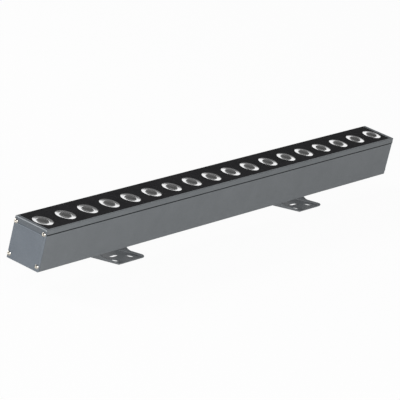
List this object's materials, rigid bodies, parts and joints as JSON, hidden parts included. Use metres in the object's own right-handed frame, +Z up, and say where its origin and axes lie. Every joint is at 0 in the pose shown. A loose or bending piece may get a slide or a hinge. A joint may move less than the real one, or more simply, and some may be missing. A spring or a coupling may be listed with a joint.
{
  "type": "led wall washer",
  "caption": "Linear wall washer: long extruded lamp body with a row of domed lenses in a black cover, on tilting sheet-metal brackets.",
  "frame": {"origin": "on the mounting surface, midway between the centre slots of the two brackets", "axes": "+X along the lamp towards the end with the cable gland, -Y the front, +Z up from the mounting surface"},
  "size_m": [1.0195, 0.0872, 0.1045],
  "materials": {
    "housing_grey": "grey powder coat on extruded aluminium",
    "cap_grey": "grey powder coat on cast aluminium",
    "bracket_grey": "grey powder coat on bent steel sheet",
    "cover_black": "black anodised aluminium, satin",
    "lens_optic": "clear moulded polycarbonate optic",
    "holder_white": "white moulded polycarbonate",
    "clear_silicone": "translucent silicone",
    "seal_rubber": "black silicone rubber",
    "board_white": "aluminium-core board with white solder mask",
    "emitter": "light-emitting diode under a clear dome",
    "bright_steel": "stainless steel, bright",
    "gland_nylon": "black moulded nylon",
    "circuit_board": "green glass-fibre board",
    "transformer": "ferrite core with taped winding",
    "capacitor": "sleeved electrolytic capacitor",
    "terminal_plastic": "green moulded terminal block"
  },
  "bodies": {
    "brackets": {"bracket_left": "bracket_grey", "bracket_right": "bracket_grey"},
    "saddles": {"saddle_left": "bracket_grey", "saddle_right": "bracket_grey", "pivot_bolts": "bright_steel", "pivot_washers": "bright_steel", "pivot_nuts": "bright_steel", "channel_bolts": "bright_steel", "channel_washers": "bright_steel", "channel_nuts": "bright_steel"},
    "lamp": {"housing": "housing_grey", "lens_plate": "cover_black", "plate_gasket": "seal_rubber", "lens_seals": "clear_silicone", "lens_holders": "holder_white", "led_emitters": "emitter", "led_board_left": "board_white", "led_board_right": "board_white", "board_screws": "bright_steel", "end_cap_left": "cap_grey", "end_cap_right": "cap_grey", "end_gasket_left": "seal_rubber", "end_gasket_right": "seal_rubber", "end_screws_left": "bright_steel", "end_screws_right": "bright_steel", "gland_body": "gland_nylon", "gland_locknut": "gland_nylon", "gland_seal": "seal_rubber", "gland_nut": "gland_nylon", "driver_board": "circuit_board", "driver_transformer": "transformer", "driver_capacitors": "capacitor", "driver_terminals": "terminal_plastic", "lens_01": "lens_optic", "lens_02": "lens_optic", "lens_03": "lens_optic", "lens_04": "lens_optic", "lens_05": "lens_optic", "lens_06": "lens_optic", "lens_07": "lens_optic", "lens_08": "lens_optic", "lens_09": "lens_optic", "lens_10": "lens_optic", "lens_11": "lens_optic", "lens_12": "lens_optic", "lens_13": "lens_optic", "lens_14": "lens_optic", "lens_15": "lens_optic", "lens_16": "lens_optic", "lens_17": "lens_optic", "lens_18": "lens_optic"}
  },
  "joints": [
    {"name": "lamp_tilt", "type": "hinge", "parent": "brackets", "child": "saddles", "pos_m": [0, 0.013, 0.0202], "axis": [1, 0, 0], "range_deg": [-90, 20]},
    {"name": "lamp_slide", "type": "slide", "parent": "saddles", "child": "lamp", "axis": [1, 0, 0], "range_m": [-0.2, 0.2]}
  ]
}
